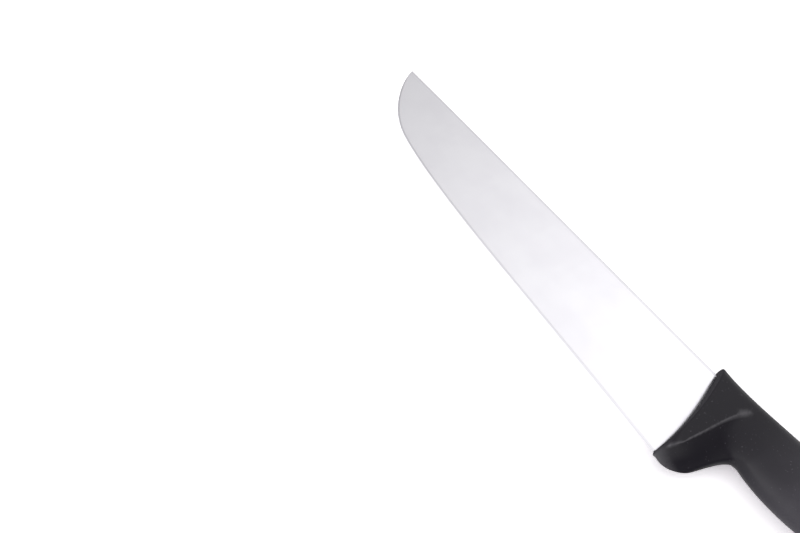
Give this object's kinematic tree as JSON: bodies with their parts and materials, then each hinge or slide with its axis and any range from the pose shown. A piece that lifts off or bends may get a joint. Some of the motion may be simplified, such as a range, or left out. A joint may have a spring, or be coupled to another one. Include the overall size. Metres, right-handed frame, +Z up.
{
  "type": "butcher knife",
  "caption": "Butcher knife with a wide straight-spined steel blade, a curved belly and a black moulded handle with a finger guard, lying on its side.",
  "frame": {"origin": "middle of the knife in plan, on the surface that it lies on", "axes": "+X along the knife towards the point, +Y from the spine towards the cutting edge, +Z up from the surface"},
  "size_m": [0.3632, 0.0516, 0.0229],
  "materials": {
    "steel": "ground and satin polished stainless steel",
    "moulding": "matte black moulding with a fine slip-resistant texture"
  },
  "bodies": {
    "root": {"blade": "steel", "handle": "moulding"}
  },
  "joints": []
}
